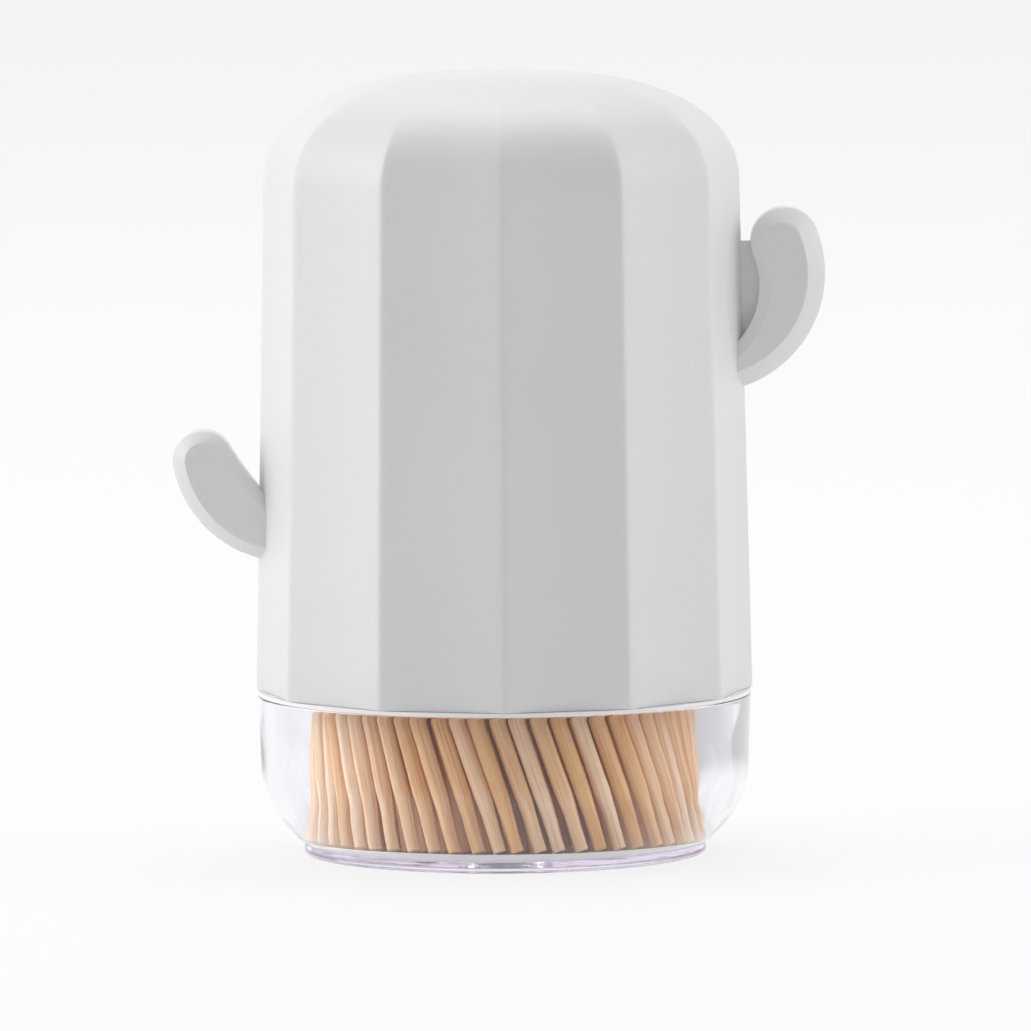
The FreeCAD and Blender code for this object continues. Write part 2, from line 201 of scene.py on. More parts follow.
def round_corner(before, corner, after, radius):
    """Points that round a corner of an outline."""
    steps = 4
    corner_v, before_v, after_v = Vector(corner), Vector(before), Vector(after)
    to_before = (before_v - corner_v).normalized()
    to_after = (after_v - corner_v).normalized()
    half = to_before.angle(to_after) / 2
    back = radius / math.tan(half)
    centre = corner_v + (to_before + to_after).normalized() * (radius / math.sin(half))
    start, end = corner_v + to_before * back, corner_v + to_after * back
    middle = centre + (corner_v - centre).normalized() * radius
    return [tuple(start)] + arc_through(tuple(start), tuple(middle), tuple(end), steps)


def divided(points, longest):
    """Adds points along the long runs of a closed outline, so that the shading stays true on them."""
    result = []
    for here, following in zip(points, points[1:] + points[:1]):
        run = Vector(following) - Vector(here)
        steps = math.ceil(run.length / longest)
        result += [tuple(Vector(here) + run * (n / steps)) for n in range(steps)]
    return result


def eased(points, low, high, rounds):
    """Softens a closed outline where its height lies between two bounds."""
    points = [Vector(point) for point in points]
    for _ in range(rounds):
        neighbours = zip(points[-1:] + points[:-1], points, points[1:] + points[:1])
        points = [(before + here * 2 + after) / 4 if low < here.y < high else here
                  for before, here, after in neighbours]
    return [tuple(point) for point in points]


def new_piece(name, vertices, faces):
    """A mesh object at the origin, smooth but for its sharp edges."""
    sharp_angle = math.radians(35)
    mesh = bpy.data.meshes.new(name)
    mesh.from_pydata(vertices, [], faces)
    mesh.validate()
    mesh.shade_smooth()
    mesh.set_sharp_from_angle(angle=sharp_angle)
    piece = bpy.data.objects.new(name, mesh)
    bpy.context.scene.collection.objects.link(piece)
    return piece


def turned_piece(name, outline, columns):
    """Turns a closed outline of (radius, z), run with the solid to its left, about the upright axis."""
    vertices = []
    faces = []
    rows = len(outline)
    for column in range(columns):
        angle = math.tau * column / columns
        vertices += [(r * math.cos(angle), r * math.sin(angle), z) for r, z in outline]
        here, beside = column * rows, (column + 1) % columns * rows
        for row in range(rows):
            following = (row + 1) % rows
            faces.append((here + row, beside + row, beside + following, here + following))
    return new_piece(name, vertices, faces)


def settle(piece, finish):
    """Leaves a piece as a plain mesh in one finish, with its modifiers used up."""
    evaluated = piece.evaluated_get(bpy.context.evaluated_depsgraph_get())
    mesh = bpy.data.meshes.new_from_object(evaluated)
    piece.modifiers.clear()
    piece.data = mesh
    mesh.materials.clear()
    mesh.materials.append(finish)
    return piece


def bowl_outline():
    """Half of the bowl's section, from the screw hole, out under the foot, up the wall and back inside."""
    hole_r, recess_r, hub_r, foot_in, foot_out = 0.0014, 0.0038, 0.0050, 0.0211, 0.0243
    recess, foot_top, floor, hub_under, hub_top = 0.0005, 0.00135, 0.0015, 0.0019, 0.0029
    recess_round, foot_in_round, foot_out_round = 0.0002, 0.00025, 0.00045
    rim_round, hub_round = 0.00015, 0.0003
    recess_top, recess_edge = (recess_r, hub_under), (recess_r, recess)
    foot_root, foot_inner, foot_outer = (foot_in, recess), (foot_in, 0), (foot_out, 0)
    wall_foot, bulge = (foot_out, foot_top), (0.02735, 0.0045)
    bend, rim = (0.02945, 0.0095), (0.02975, 0.0193)
    inner_rim, inner_bend = (0.02785, 0.0193), (0.02755, 0.0095)
    inner_bulge, floor_edge = (0.025916, 0.005747), (0.023006, floor)
    hub_foot, hub_edge, hub_hole = (hub_r, floor), (hub_r, hub_top), (hole_r, hub_top)
    outer_steps, inner_steps = 28, 24

    points = [(hole_r, hub_under), recess_top]
    points += round_corner(recess_top, recess_edge, foot_root, recess_round)
    points += round_corner(recess_edge, foot_root, foot_inner, recess_round)
    points += round_corner(foot_root, foot_inner, foot_outer, foot_in_round)
    points += round_corner(foot_inner, foot_outer, wall_foot, foot_out_round)
    points += [wall_foot] + arc_through(wall_foot, bulge, bend, outer_steps)
    points += round_corner(bend, rim, inner_rim, rim_round)
    points += round_corner(rim, inner_rim, inner_bend, rim_round)
    points += [inner_bend] + arc_through(inner_bend, inner_bulge, floor_edge, inner_steps)
    points += round_corner(floor_edge, hub_foot, hub_edge, hub_round)
    points += round_corner(hub_foot, hub_edge, hub_hole, hub_round)
    return points + [hub_hole]


longest_run, bowl_columns = 0.0005, 256
bend_low, bend_high, easing_rounds = 0.0070, 0.0125, 16       # the straight wall runs softly into the curve
bowl_section = eased(divided(bowl_outline(), longest_run), bend_low, bend_high, easing_rounds)
bowl = turned_piece("clear_bowl", bowl_section, bowl_columns)

clear_plastic = moulded("clear_polystyrene", {
    "Colour": (0.95, 0.95, 0.97, 1), "Cloud Colour": (0.98, 0.98, 0.99, 1), "Cloud Scale": 60.0,
    "Roughness": 0.03, "Roughness Swing": 0.03,
    "Texture Scale": 70.0, "Texture Height": 2.0, "Drag Height": 0.03},
    {"Transmission Weight": 1.0, "IOR": 1.5})
let_lamps_through(clear_plastic, (0.97, 0.97, 0.98, 1))
tree = clear_plastic.node_tree                    # light that runs far inside it turns faintly lilac
depth_of_plastic = place(tree, "ShaderNodeVolumeAbsorption",
                         {"Color": (0.86, 0.77, 0.92, 1), "Density": 30.0})
tree.links.new(depth_of_plastic.outputs[0], tree.nodes["Material Output"].inputs["Volume"])
settle(bowl, clear_plastic)
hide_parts("bowl")
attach(bowl, "base")


# ---- Neck ring ----
# White gloss polystyrene. Its thin flange lies on the bowl's rim and its spigot is glued inside, and the
# neck above it guides the cap.

def dress(finish, *nodes):
    """Gives solids of the part their finish."""
    for node in nodes:
        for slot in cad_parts[node].material_slots:
            slot.material = finish


gloss_white = moulded("gloss_white_plastic", {
    "Colour": (0.95, 0.94, 0.94, 1), "Cloud Colour": (0.97, 0.965, 0.965, 1), "Cloud Scale": 90.0,
    "Roughness": 0.24, "Roughness Swing": 0.10,
    "Texture Scale": 2600.0, "Texture Height": 0.05, "Drag Height": 0.06},
    {"Subsurface Weight": 0.08, "Subsurface Radius": (0.002, 0.002, 0.0018)})
dress(gloss_white, "neck_ring")


# ---- Guide post, screw and washer ----
# A natural acetal post stands on the bowl's boss, held from below by a plated cross-head screw and a
# steel washer.

acetal = moulded("natural_acetal", {
    "Colour": (0.70, 0.70, 0.68, 1), "Cloud Colour": (0.78, 0.78, 0.77, 1), "Cloud Scale": 140.0,
    "Roughness": 0.38, "Roughness Swing": 0.12,
    "Texture Scale": 3200.0, "Texture Height": 0.08, "Drag Height": 0.12})
dress(acetal, "guide_post")

plated_steel = moulded("plated_steel", {
    "Colour": (0.50, 0.50, 0.51, 1), "Cloud Colour": (0.66, 0.66, 0.68, 1), "Cloud Scale": 700.0,
    "Roughness": 0.28, "Roughness Swing": 0.18,
    "Texture Scale": 6000.0, "Texture Height": 0.05, "Drag Height": 0.04}, {"Metallic": 1.0})
dress(plated_steel, "post_screw", "post_washer")


# ---- Lift spring ----
# A compression spring of plated wire, 11 turns, that stands on the head of the post and pushes up on the
# knob's plug, and stretches as the riser rises. Here it is wound by a rule at one height.

def new_rule(name, sizes):
    """A Geometry Nodes tree with named sizes, given with what its inputs give."""
    rule = bpy.data.node_groups.new(name, "GeometryNodeTree")
    rule.is_modifier = True
    rule.interface.new_socket("Shape", in_out="OUTPUT", socket_type="NodeSocketGeometry")
    for label, value in sizes.items():
        kind = {int: "NodeSocketInt", float: "NodeSocketFloat"}.get(type(value), "NodeSocketMaterial")
        rule.interface.new_socket(label, in_out="INPUT", socket_type=kind)
    return rule, {socket.name: Amount(socket) for socket in rule.nodes.new("NodeGroupInput").outputs}


def complete(rule, geometry, finish):
    """Ends a rule with one real mesh in its finish."""
    whole = place(rule, "GeometryNodeRealizeInstances", {"Geometry": geometry})
    finished = place(rule, "GeometryNodeSetMaterial", {"Geometry": whole, "Material": finish})
    rule.links.new(finished.outputs[0], rule.nodes.new("NodeGroupOutput").inputs["Shape"])


def made_by_rule(name, rule, sizes):
    """Runs a rule with its sizes and keeps the plain mesh that it gives."""
    piece = bpy.data.objects.new(name, bpy.data.meshes.new(name))
    bpy.context.scene.collection.objects.link(piece)
    maker = piece.modifiers.new(name, "NODES")
    maker.node_group = rule
    for item in rule.interface.items_tree:
        if item.item_type == "SOCKET" and item.in_out == "INPUT":
            maker[item.identifier] = sizes[item.name]
    return settle(piece, sizes["Finish"])


def spot_at(rule, x=0.0, y=0.0, z=0.0):
    """A place, from its three coordinates."""
    return place(rule, "ShaderNodeCombineXYZ", {"X": x, "Y": y, "Z": z}).outputs[0]


spring_sizes = {"Turns": 11.0, "Coil Radius": 0.0035, "Wire Radius": 0.0003, "Foot": 0.03135,
                "Height": 0.02657, "Finish": plated_steel}
steps_per_turn, wire_sides = 40, 10
rule, given = new_rule("wound_spring", spring_sizes)
coil = place(rule, "GeometryNodeCurveSpiral", {
    "Resolution": steps_per_turn, "Rotations": given["Turns"], "Start Radius": given["Coil Radius"],
    "End Radius": given["Coil Radius"], "Height": given["Height"]})
raised = place(rule, "GeometryNodeSetPosition", {"Geometry": coil, "Offset": spot_at(rule, z=given["Foot"])})
wire = place(rule, "GeometryNodeCurvePrimitiveCircle",
             {"Resolution": wire_sides, "Radius": given["Wire Radius"]})
drawn = place(rule, "GeometryNodeCurveToMesh", {"Curve": raised, "Profile Curve": wire, "Fill Caps": True})
smooth = place(rule, "GeometryNodeSetShadeSmooth", {"Geometry": drawn})
complete(rule, smooth, given["Finish"])
spring = made_by_rule("wound_lift_spring", rule, spring_sizes)
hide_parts("lift_spring")
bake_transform(spring)


# ---- Riser ----
# Tray, tube and knob are white gloss mouldings, glued together, with an acetal bush in the tube's foot.
# They carry the toothpicks up as the cap comes off.

dress(gloss_white, "riser_tray", "riser_tube", "tube_knob")
dress(acetal, "riser_bush")


# ---- Toothpicks ----
# Birch sticks 65 mm long, pointed at the top and blunt below. They stand on the tray in three rings, all
# leaning the same way round, so that the bundle has a waist at the neck.

def birch():
    """Wood in which each stick has its own tone, with streaks and worn patches along it."""
    fibre_scale, patch_scale, own_shift = (2600.0, 2600.0, 60.0), (300.0, 300.0, 70.0), (37.0, 53.0, 91.0)
    late_wood, early_wood, worn_wood = (0.78, 0.43, 0.16, 1), (0.97, 0.72, 0.46, 1), (0.96, 0.74, 0.48, 1)
    golden, creamy = (0.88, 0.69, 0.44, 1), (1.0, 1.08, 1.32, 1)
    late_below, early_above, most_worn = 0.30, 0.58, 0.35
    finish, tree, shader = new_finish("birch", {
        "Specular IOR Level": 0.3, "Subsurface Weight": 0.25, "Subsurface Radius": (0.0016, 0.0008, 0.0004)})
    along_stick = place(tree, "ShaderNodeAttribute", attribute_name="along_stick").outputs["Vector"]
    tone = place(tree, "ShaderNodeAttribute", attribute_name="tone").outputs
    apart = place(tree, "ShaderNodeVectorMath", {0: tone["Color"], 1: own_shift}, operation="MULTIPLY")

    def grain(scale, detail):
        """Noise along a stick, different in each."""
        spot = place(tree, "ShaderNodeVectorMath", {0: along_stick, 1: scale, 2: apart},
                     operation="MULTIPLY_ADD")
        return noise_at(tree, spot, 1.0, detail)

    fibres, patches = grain(fibre_scale, 5.0), grain(patch_scale, 2.0)
    wood = place(tree, "ShaderNodeValToRGB", {0: fibres})
    late_stop, early_stop = wood.color_ramp.elements
    late_stop.position, late_stop.color = late_below, late_wood
    early_stop.position, early_stop.color = early_above, early_wood
    toned_wood = mixed(tree, 1.0, wood, mixed(tree, tone["Fac"], golden, creamy), "MULTIPLY")
    streaked = mixed(tree, patches.mapped(0.35, 0.75, 0.0, most_worn), toned_wood, worn_wood)
    rough = fibres.mapped(0.3, 0.7, 0.72, 0.5)
    relief = place(tree, "ShaderNodeBump", {"Height": fibres, "Distance": relief_step, "Strength": 0.6})
    tree.links.new(streaked, shader.inputs["Base Color"])
    tree.links.new(rough.socket, shader.inputs["Roughness"])
    tree.links.new(relief.outputs["Normal"], shader.inputs["Normal"])
    return finish


ring_counts = {"outer": 58, "middle": 51, "inner": 45}
ring_step = 0.0024                                # how much further in each ring stands
toothpick_sizes = {"Count": ring_counts["outer"], "Waist Radius": 0.022006, "Lean": 0.335,
                   "Lean Swing": 0.045, "Turn Swing": 0.006,
                   "Throat Height": 0.026, "Foot Height": 0.003194, "Length": 0.065,
                   "Thickness": 0.00205, "Point Length": 0.006, "Point Thickness": 0.0005,
                   "End Length": 0.0004, "End Thickness": 0.0016, "Thickness Swing": 0.05, "Bow": 0.0003,
                   "Seed": 1, "Finish": birch()}
rule, given = new_rule("ring_of_toothpicks", toothpick_sizes)


def coordinates(spot):
    """The three coordinates of a place."""
    return [Amount(output) for output in place(spot.id_data, "ShaderNodeSeparateXYZ", {0: spot}).outputs]


def noted(geometry, label, value, kind, domain):
    """Keeps a value with each point or each stick, under a label."""
    feeds = {"Geometry": geometry, "Name": label, "Value": value}
    return place(rule, "GeometryNodeStoreNamedAttribute", feeds, data_type=kind, domain=domain)


def recalled(label, kind):
    """What was noted under a label."""
    return place(rule, "GeometryNodeInputNamedAttribute", {"Name": label}, data_type=kind).outputs[0]


def drift(lane):
    """A slow change from stick to stick round the ring, about -1 to 1."""
    circle_r, seed_step, gain = 1.6, 7.3, 3.0
    spot = spot_at(rule, step.work("COSINE") * circle_r + lane, step.work("SINE") * circle_r,
                   given["Seed"] * seed_step)
    return (noise_at(rule, spot, 1.0, 1.0) - 0.5) * gain


def chance(low, high, lane):
    """A number of its own for each stick. The node has its bounds at inputs 2 and 3 and its seed at 8."""
    draw = place(rule, "FunctionNodeRandomValue", {2: low, 3: high, 8: given["Seed"] * 10.0 + lane},
                 data_type="FLOAT")
    return Amount(draw.outputs[1])


# One stick, upright, from its blunt foot to its point
stick_rings, stick_sides, point_bulge = 24, 12, 0.8
rod = place(rule, "GeometryNodeCurvePrimitiveLine", {"End": spot_at(rule, z=given["Length"])})
rod_steps = place(rule, "GeometryNodeResampleCurve", {"Curve": rod, "Count": stick_rings})
share = Amount(place(rule, "GeometryNodeSplineParameter").outputs["Factor"])
share = share - (share * math.tau).work("SINE") / math.tau                    # closer together at both ends
from_end = share * given["Length"]
from_point = given["Length"] - from_end
full_r = given["Thickness"] * 0.5
point_r, end_r = given["Point Thickness"] * 0.5, given["End Thickness"] * 0.5
point_share = (from_point / given["Point Length"]).work("MINIMUM", 1.0)
end_share = (from_end / given["End Length"]).work("MINIMUM", 1.0)
near_point = (full_r - point_r) * (point_share ** point_bulge) + point_r
stick_r = near_point.work("MINIMUM", (full_r - end_r) * end_share + end_r)
spaced = place(rule, "GeometryNodeSetPosition",
               {"Geometry": rod_steps, "Position": spot_at(rule, z=from_end)})
round_face = place(rule, "GeometryNodeCurvePrimitiveCircle", {"Resolution": stick_sides, "Radius": 1.0})
stick = place(rule, "GeometryNodeCurveToMesh",
              {"Curve": spaced, "Profile Curve": round_face, "Scale": stick_r, "Fill Caps": True})
stick_smooth = place(rule, "GeometryNodeSetShadeSmooth", {"Geometry": stick})
own_place = place(rule, "GeometryNodeInputPosition")
marked = noted(stick_smooth, "along_stick", own_place, "FLOAT_VECTOR", "POINT")

# The ring: where each stick stands, how it leans, and how thick it is
lean_lane, turn_lane, stand_lane, bow_lane, width_lane, tone_lane = 1.0, 2.0, 3.0, 5.0, 6.0, 152.0
lean_drift, turn_drift = 0.0, 20.0
own_lean, own_turn, own_stand = 0.006, 0.003, 0.00018         # the most that one stick differs, either way
step = Amount(place(rule, "GeometryNodeInputIndex").outputs[0]) / given["Count"] * math.tau
lean = drift(lean_drift) * given["Lean Swing"] + given["Lean"] + chance(-own_lean, own_lean, lean_lane)
angle = step + drift(turn_drift) * given["Turn Swing"] + chance(-own_turn, own_turn, turn_lane)
stand_r = given["Waist Radius"] + chance(-own_stand, own_stand, stand_lane)
foot_y = (given["Throat Height"] - given["Foot Height"]) * lean
cos_a, sin_a = angle.work("COSINE"), angle.work("SINE")
stand_x, stand_y = stand_r * cos_a - foot_y * sin_a, stand_r * sin_a + foot_y * cos_a
stand = spot_at(rule, stand_x, stand_y, given["Foot Height"])
spots = place(rule, "GeometryNodePoints", {"Count": given["Count"], "Position": stand})
turned = spot_at(rule, x=lean.work("ARCTANGENT"), z=angle)
thinner = chance(-1.0, 0.0, width_lane) * given["Thickness Swing"] + 1.0
stood = place(rule, "GeometryNodeInstanceOnPoints", {
    "Points": spots, "Instance": marked, "Rotation": turned, "Scale": spot_at(rule, thinner, thinner, 1.0)})
toned = noted(stood, "tone", chance(0.0, 1.0, tone_lane), "FLOAT", "INSTANCE")
bowed = noted(toned, "bow", chance(-1.0, 1.0, bow_lane), "FLOAT", "INSTANCE")

# Each stick bows a little, in or out
whole = place(rule, "GeometryNodeRealizeInstances", {"Geometry": bowed})
height = coordinates(recalled("along_stick", "FLOAT_VECTOR"))[2]
bow = Amount(recalled("bow", "FLOAT"))
arch = (height / given["Length"] * math.pi).work("SINE") * bow * given["Bow"]
here = place(rule, "GeometryNodeInputPosition")
level = place(rule, "ShaderNodeVectorMath", {0: here, 1: (1.0, 1.0, 0.0)}, operation="MULTIPLY")
outward = place(rule, "ShaderNodeVectorMath", {0: level}, operation="NORMALIZE")
push = place(rule, "ShaderNodeVectorMath", {0: outward, "Scale": arch}, operation="SCALE")
bent = place(rule, "GeometryNodeSetPosition", {"Geometry": whole, "Offset": push})
complete(rule, bent, given["Finish"])

for number, (name, count) in enumerate(ring_counts.items()):
    waist = toothpick_sizes["Waist Radius"] - number * ring_step
    sizes = dict(toothpick_sizes)
    sizes.update({"Count": count, "Waist Radius": waist, "Seed": number + 1,
                  "Lean": toothpick_sizes["Lean"] * waist / toothpick_sizes["Waist Radius"]})
    ring = made_by_rule("birch_toothpicks_" + name, rule, sizes)
    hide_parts("toothpicks_" + name)
    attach(ring, "riser")


# ---- Cap ----
# One deep polypropylene moulding, off-white and semi-matte, with twelve hollow facets between soft ridges.
# The facets run over the dome and fade out at a small flat crown. The wall is 1.6 mm thick, with a pad
# inside at each arm's peg and a boss under the crown for the stem.

matte_white = moulded("matte_white_plastic", {
    "Colour": (0.775, 0.77, 0.775, 1), "Cloud Colour": (0.81, 0.807, 0.81, 1), "Cloud Scale": 45.0,
    "Roughness": 0.44, "Roughness Swing": 0.10,
    "Texture Scale": 2400.0, "Texture Height": 0.22, "Drag Height": 0.05},
    {"Subsurface Weight": 0.1, "Subsurface Radius": (0.0015, 0.0014, 0.0013), "Specular IOR Level": 0.45})

cap_sizes = {"Ridges": 12, "Foot Radius": 0.03003, "Shoulder Radius": 0.02875, "Crown Radius": 0.006,
             "Foot": 0.01985, "Shoulder": 0.081004, "Dome Height": 0.0132, "Dome Power": 2.2,
             "Facet Hollow": 0.00028, "Ridge Blunt": 0.0001, "Fade Power": 1.5, "Columns": 361, "Rows": 67,
             "Finish": matte_white}
straight_rows, dome_rows = 0.18, 0.70             # shares of the rows, and the crown has the rest
crowding, same_point = 0.35, 0.000001             # how much closer the columns stand at the ridges
rule, given = new_rule("faceted_cap", cap_sizes)
sheet = place(rule, "GeometryNodeMeshGrid", {
    "Size X": 1.0, "Size Y": 1.0, "Vertices X": given["Columns"], "Vertices Y": given["Rows"]})
flat_x, flat_y = coordinates(place(rule, "GeometryNodeInputPosition").outputs[0])[:2]

# Round the cap: which facet, how far across it from -1 to 1, and the angle of both
round_share = (flat_x + 0.5) * given["Ridges"]
facet = round_share.work("FLOOR")
across = (round_share - facet) * 2.0 - 1.0
across = across * ((1.0 - across * across) * crowding + 1.0)
half_step = (given["Ridges"] / math.pi) ** -1.0
turn = across * half_step
angle = (facet + 0.5) * half_step * 2.0 + turn - math.pi / 2

# Up the cap: the straight wall, then the dome, then the flat crown
up = flat_y + 0.5
straight = (up / straight_rows).work("MINIMUM", 1.0)
dome = ((up - straight_rows) / dome_rows).within(0.0, 1.0) * (math.pi / 2)
crown = ((up - straight_rows - dome_rows) / (1 - straight_rows - dome_rows)).within(0.0, 1.0)
exponent = given["Dome Power"] ** -1.0 * 2.0
wall_r = given["Foot Radius"] + (given["Shoulder Radius"] - given["Foot Radius"]) * straight
dome_share = dome.work("COSINE").work("MAXIMUM", 0.0) ** exponent
ridge_r = ((wall_r - given["Crown Radius"]) * dome_share + given["Crown Radius"]) * (1.0 - crown)
shoulder_z = given["Foot"] + (given["Shoulder"] - given["Foot"]) * straight
z = shoulder_z + (dome.work("SINE") ** exponent) * given["Dome Height"]

# In from the ridges: the hollow of the facets, with blunt ridges between them
fade = dome_share ** given["Fade Power"]
flat_r = ridge_r * half_step.work("COSINE") / turn.work("COSINE")
hollow_r = flat_r - (1.0 - across * across) * given["Facet Hollow"]
depth = (ridge_r - hollow_r) * fade
blunt = given["Ridge Blunt"] * fade
radius = ridge_r - (depth * depth + blunt * blunt) ** 0.5
position = spot_at(rule, radius * angle.work("COSINE"), radius * angle.work("SINE"), z)
formed = place(rule, "GeometryNodeSetPosition", {"Geometry": sheet, "Position": position})
closed = place(rule, "GeometryNodeMergeByDistance", {"Geometry": formed, "Distance": same_point})
smooth = place(rule, "GeometryNodeSetShadeSmooth", {"Geometry": closed})
complete(rule, smooth, given["Finish"])
cap = made_by_rule("faceted_cap", rule, cap_sizes)

wall_thickness = 0.0016
wall = cap.modifiers.new("wall", "SOLIDIFY")
wall.thickness = wall_thickness
wall.offset = -1
wall.use_even_offset = True
edge = cap.modifiers.new("rim", "BEVEL")
edge.width = 0.0002
edge.segments = 2
edge.limit_method = "ANGLE"
edge.angle_limit = math.radians(60)
settle(cap, matte_white)


def from_shell(name, shell):
    """Makes an object of a shell."""
    mesh = bpy.data.meshes.new(name)
    shell.to_mesh(mesh)
    shell.free()
    piece = bpy.data.objects.new(name, mesh)
    bpy.context.scene.collection.objects.link(piece)
    return piece


def round_bar(start, end, radius):
    """A plain round bar from one point to another."""
    start, end = Vector(start), Vector(end)
    shell = bmesh.new()
    bmesh.ops.create_cone(shell, cap_ends=True, segments=48, radius1=radius, radius2=radius,
                          depth=(end - start).length)
    turn = (end - start).to_track_quat("Z", "Y").to_matrix().to_4x4()
    bmesh.ops.transform(shell, matrix=Matrix.Translation((start + end) / 2) @ turn, verts=shell.verts)
    return from_shell("bar", shell)


def carry(piece, extras):
    """Adds to a piece's mesh the closed shells that are moulded on it."""
    shell = bmesh.new()
    for source in [piece] + extras:
        shell.from_mesh(source.data)
    shell.to_mesh(piece.data)
    shell.free()
    for extra in extras:
        bpy.data.objects.remove(extra)


def wall_at(z):
    """Radius of the cap's ridges at a height on its straight part."""
    share = (z - cap_sizes["Foot"]) / (cap_sizes["Shoulder"] - cap_sizes["Foot"])
    return cap_sizes["Foot Radius"] + (cap_sizes["Shoulder Radius"] - cap_sizes["Foot Radius"]) * share


pad_r, pad_depth, pad_root = 0.0032, 0.001, 0.0004
boss_r, boss_foot, boss_root = 0.003, 0.086004, 0.093304
peg_places = {-1: 0.03835, 1: 0.0585}             # height of each arm's peg, by side
moulded_on = [round_bar((0, 0, boss_foot), (0, 0, boss_root), boss_r)]
for side, peg_z in peg_places.items():
    inside = wall_at(peg_z) - wall_thickness
    root, end = (side * (inside + pad_root), 0, peg_z), (side * (inside - pad_depth), 0, peg_z)
    moulded_on.append(round_bar(root, end, pad_r))
carry(cap, moulded_on)
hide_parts("cap_shell")
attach(cap, "cap")


# ---- Collar, seal, stem, pad and clips ----
# A white liner fits the faceted cap to the round neck, with a silicone ring at its mouth. A stem under
# the ceiling presses the riser down through a silicone pad, and push-on clips hold the arms' pegs.

liner_plastic = moulded("white_liner_plastic", {
    "Colour": (0.70, 0.70, 0.70, 1), "Cloud Colour": (0.76, 0.76, 0.765, 1), "Cloud Scale": 80.0,
    "Roughness": 0.5, "Roughness Swing": 0.12,
    "Texture Scale": 2600.0, "Texture Height": 0.18, "Drag Height": 0.1})
dress(liner_plastic, "cap_collar", "cap_stem", "arm_clips")

silicone = moulded("white_silicone", {
    "Colour": (0.72, 0.73, 0.74, 1), "Cloud Colour": (0.80, 0.80, 0.81, 1), "Cloud Scale": 260.0,
    "Roughness": 0.55, "Roughness Swing": 0.15,
    "Texture Scale": 3000.0, "Texture Height": 0.12, "Drag Height": 0.0},
    {"Subsurface Weight": 0.4, "Subsurface Radius": (0.002, 0.002, 0.002)})
dress(silicone, "seal_ring", "stem_pad")


# ---- Arms ----
# Two bent lobes of the cap's plastic, 6 mm deep and bevelled round both faces, pegged and glued to a
# ridge on each side: a small one low on the left, a larger one high on the right with a thin web behind it.

def along(length, angle):
    """A step of some length in the direction of an angle."""
    return Vector((length * math.cos(angle), length * math.sin(angle)))


def arc_towards(start, end, direction, steps):
    """Points along the arc that reaches its end in a given direction, without its start."""
    chord = end - start
    lean = direction - math.atan2(chord.y, chord.x)
    lean = (lean + math.pi) % math.tau - math.pi
    middle = start + chord * 0.5 + Vector((chord.y, -chord.x)) * (math.tan(lean / 2) / 2)
    return [Vector(p) for p in arc_through(tuple(start), tuple(middle), tuple(end), steps)]


def bevelled_slab(name, path, depth, section, shares, root_x):
    """A slab inside an open outline, cut off square at its root. Section is half of its edge, as points
    (how far in from the outline, how far down from the face), and shares are what each point of the path
    has of both."""
    count = len(path)
    tangents = [(path[min(n + 1, count - 1)] - path[max(n - 1, 0)]).normalized() for n in range(count)]
    middle = sum(path, Vector((0, 0))) / count
    turn = 1 if tangents[0].cross(middle - path[0]) > 0 else -1
    rows = [(inset, drop, -1) for inset, drop in section[::-1]]
    rows += [(inset, drop, 1) for inset, drop in section]
    vertices = []
    for inset, drop, face_side in rows:
        for number, (point, tangent, (width, fall)) in enumerate(zip(path, tangents, shares)):
            moved = point + Vector((-tangent.y, tangent.x)) * (turn * inset * width)
            if number in (0, count - 1):
                moved += tangent * ((root_x - moved.x) / tangent.x)
            vertices.append((moved.x, face_side * (depth / 2 - drop * fall), moved.y))

    row_starts = [count * number for number in range(len(rows))]
    faces = [(lower + n, lower + n + 1, upper + n + 1, upper + n)
             for lower, upper in zip(row_starts, row_starts[1:]) for n in range(count - 1)]
    for first in (row_starts[0], row_starts[-1]):
        faces += [(first + n, first + count - 1 - n, first + count - 2 - n, first + n + 1)
                  for n in range(count // 2 - 1)]
    faces.append(row_starts + [start + count - 1 for start in reversed(row_starts)])
    piece = new_piece(name, vertices, faces)
    shell = bmesh.new()
    shell.from_mesh(piece.data)
    bmesh.ops.recalc_face_normals(shell, faces=shell.faces)
    shell.to_mesh(piece.data)
    shell.free()
    return piece


def plate(centre, size):
    """A plain flat plate, square to the axes."""
    shell = bmesh.new()
    bmesh.ops.create_cube(shell, size=1.0)
    placed = Matrix.Translation(centre) @ Matrix.Diagonal((*size, 1))
    bmesh.ops.transform(shell, matrix=placed, verts=shell.verts)
    return from_shell("plate", shell)


arm_depth, arm_root_depth, crest_round, foot_round = 0.006, 0.0013, 0.0003, 0.0004
peg_r, peg_inward, peg_outward = 0.0014, 0.0032, 0.0014
run_steps, tip_steps = 32, 31


